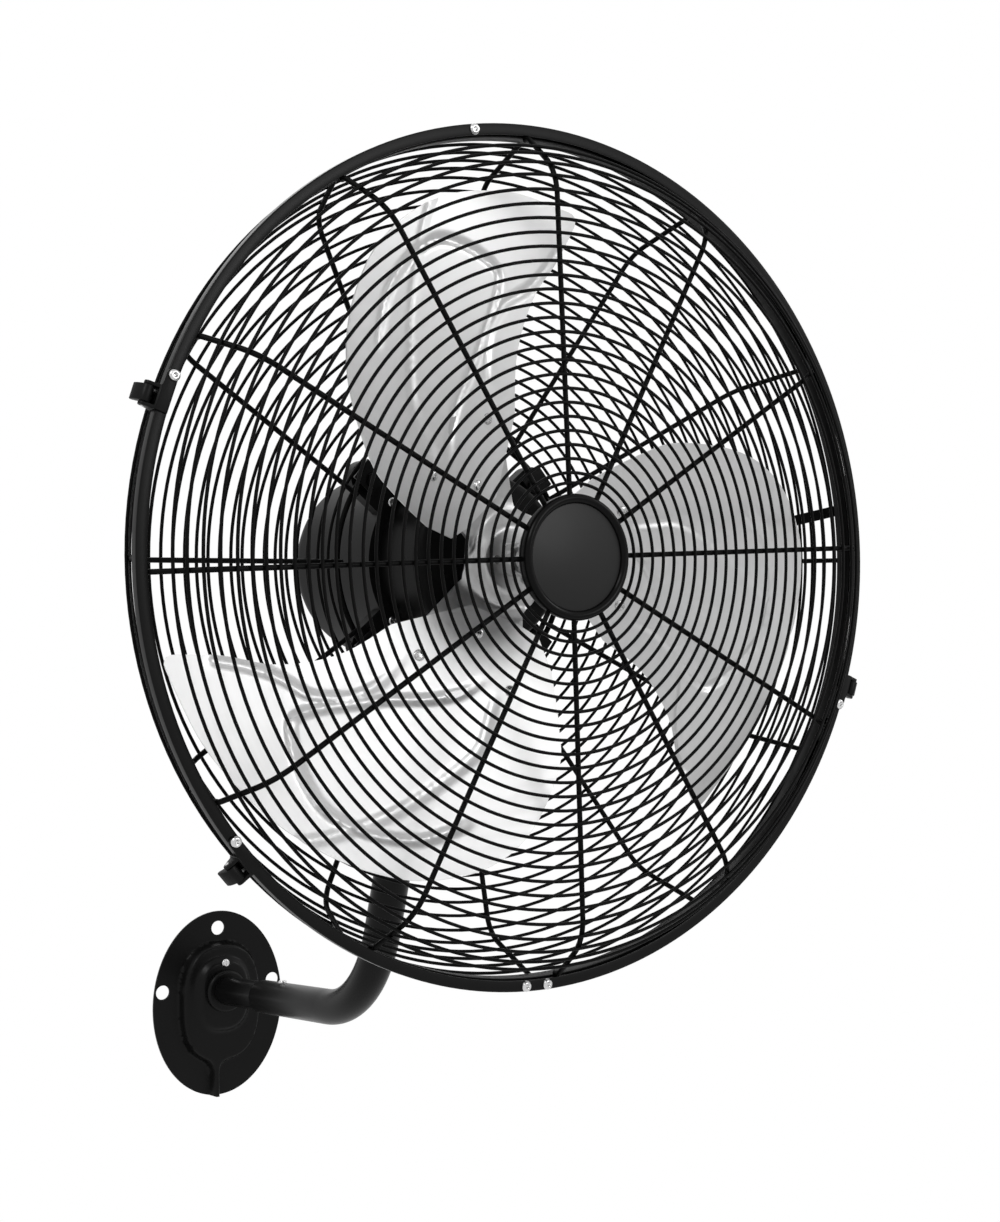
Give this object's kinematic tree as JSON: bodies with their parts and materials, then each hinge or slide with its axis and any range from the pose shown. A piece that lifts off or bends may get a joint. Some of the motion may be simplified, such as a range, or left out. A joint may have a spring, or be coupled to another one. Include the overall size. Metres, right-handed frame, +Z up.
{
  "type": "wall mounted fan",
  "caption": "Wall mounted fan: pressed wall plate and bent tube arm carry a tilting motor head with pitched metal blades inside a round black wire guard.",
  "frame": {"origin": "on the wall, at the wall plate's back face, midway between its two side screw holes", "axes": "+Z up, +Y into the wall (the fan blows towards -Y), +X to the right of someone facing the fan"},
  "size_m": [0.6802, 0.6727, 0.898],
  "materials": {
    "black_steel": "satin black powder coat on pressed and welded steel",
    "black_wire": "satin black powder coat on drawn wire",
    "black_cast": "satin black coat on cast aluminium",
    "satin_aluminium": "satin rolled sheet",
    "bright_steel": "bright zinc plate",
    "chrome_screw": "polished fasteners and rivets",
    "cap_plastic": "fine grained moulding",
    "cap_inlay": "dark grey satin gloss disc",
    "clip_plastic": "moulded nylon",
    "knob_plastic": "moulded knob",
    "lamination": "stacked electrical steel",
    "copper_winding": "enamelled copper wire",
    "bearing_steel": "ground bearing steel",
    "capacitor_case": "moulded case"
  },
  "bodies": {
    "arm": {"wall_plate": "black_steel", "wall_stub": "black_steel", "tube_collar": "black_steel", "earth_screw": "chrome_screw", "arm_tube": "black_steel", "arm_lock_screw": "chrome_screw", "tilt_yoke": "black_steel", "tilt_bolt": "bright_steel", "tilt_washer": "bright_steel"},
    "hand_knob": {"tilt_hand_knob": "knob_plastic"},
    "head": {"motor_lug": "black_cast", "lug_screws": "chrome_screw", "motor_front_shield": "black_cast", "motor_rear_housing": "black_cast", "motor_screws": "chrome_screw", "stator_core": "lamination", "stator_windings": "copper_winding", "bearing_outer_races": "bearing_steel", "run_capacitor": "capacitor_case", "speed_switch": "knob_plastic", "front_guard_face_rings": "black_wire", "front_guard_side_rings": "black_wire", "front_guard_ribs": "black_wire", "front_guard_centre_plate": "black_steel", "front_cap": "cap_plastic", "cap_face": "cap_inlay", "cap_screw": "chrome_screw", "rear_guard_back_rings": "black_wire", "rear_guard_wall_rings": "black_wire", "rear_guard_ribs": "black_wire", "rear_guard_hub_ring": "black_wire", "rear_guard_clamps": "black_steel", "rear_guard_clamp_screws": "black_steel", "rear_guard_stay": "black_steel", "front_rim_hoop": "black_steel", "rear_rim_hoop": "black_steel", "rim_band": "black_steel", "rim_spacers": "black_steel", "rim_joint_spacer": "black_steel", "rim_screws": "chrome_screw", "clip_bases": "clip_plastic", "clip_pins": "bright_steel"},
    "rotor": {"rotor_core": "lamination", "motor_shaft": "bright_steel", "bearing_inner_races": "bearing_steel", "bearing_balls": "bearing_steel", "blade_1": "satin_aluminium", "blade_2": "satin_aluminium", "blade_3": "satin_aluminium", "blade_spider": "bright_steel", "hub_boss": "bright_steel", "hub_rivets": "chrome_screw", "blade_rivets": "chrome_screw", "shaft_nut": "chrome_screw", "hub_grub_screw": "bright_steel"},
    "speed_dial": {"switch_spindle": "bright_steel", "speed_knob": "knob_plastic"},
    "clip_1": {"clip_lever_1": "clip_plastic"},
    "clip_2": {"clip_lever_2": "clip_plastic"},
    "clip_3": {"clip_lever_3": "clip_plastic"}
  },
  "joints": [
    {"name": "head_tilt", "type": "hinge", "parent": "arm", "child": "head", "pos_m": [0, -0.436, 0.33], "axis": [1, 0, 0], "range_deg": [-20, 30]},
    {"name": "hand_knob_turn", "type": "hinge", "parent": "arm", "child": "hand_knob", "pos_m": [0, -0.436, 0.33], "axis": [1, 0, 0], "range_deg": [0, 360]},
    {"name": "blade_spin", "type": "hinge", "parent": "head", "child": "rotor", "pos_m": [0, -0.624, 0.442], "axis": [0, 1, 0], "continuous": true},
    {"name": "speed_dial_turn", "type": "hinge", "parent": "head", "child": "speed_dial", "pos_m": [0, -0.339, 0.484], "axis": [0, 1, 0], "range_deg": [0, 180]},
    {"name": "clip_1_open", "type": "hinge", "parent": "head", "child": "clip_1", "pos_m": [-0.33058, -0.6205, 0.55389], "axis": [0.3206, 0, 0.9472], "range_deg": [0, 100]},
    {"name": "clip_2_open", "type": "hinge", "parent": "head", "child": "clip_2", "pos_m": [-0.26538, -0.6205, 0.21534], "axis": [-0.6494, 0, 0.7604], "range_deg": [0, 100]},
    {"name": "clip_3_open", "type": "hinge", "parent": "head", "child": "clip_3", "pos_m": [0.33058, -0.6205, 0.33011], "axis": [-0.3206, 0, -0.9472], "range_deg": [0, 100]}
  ]
}
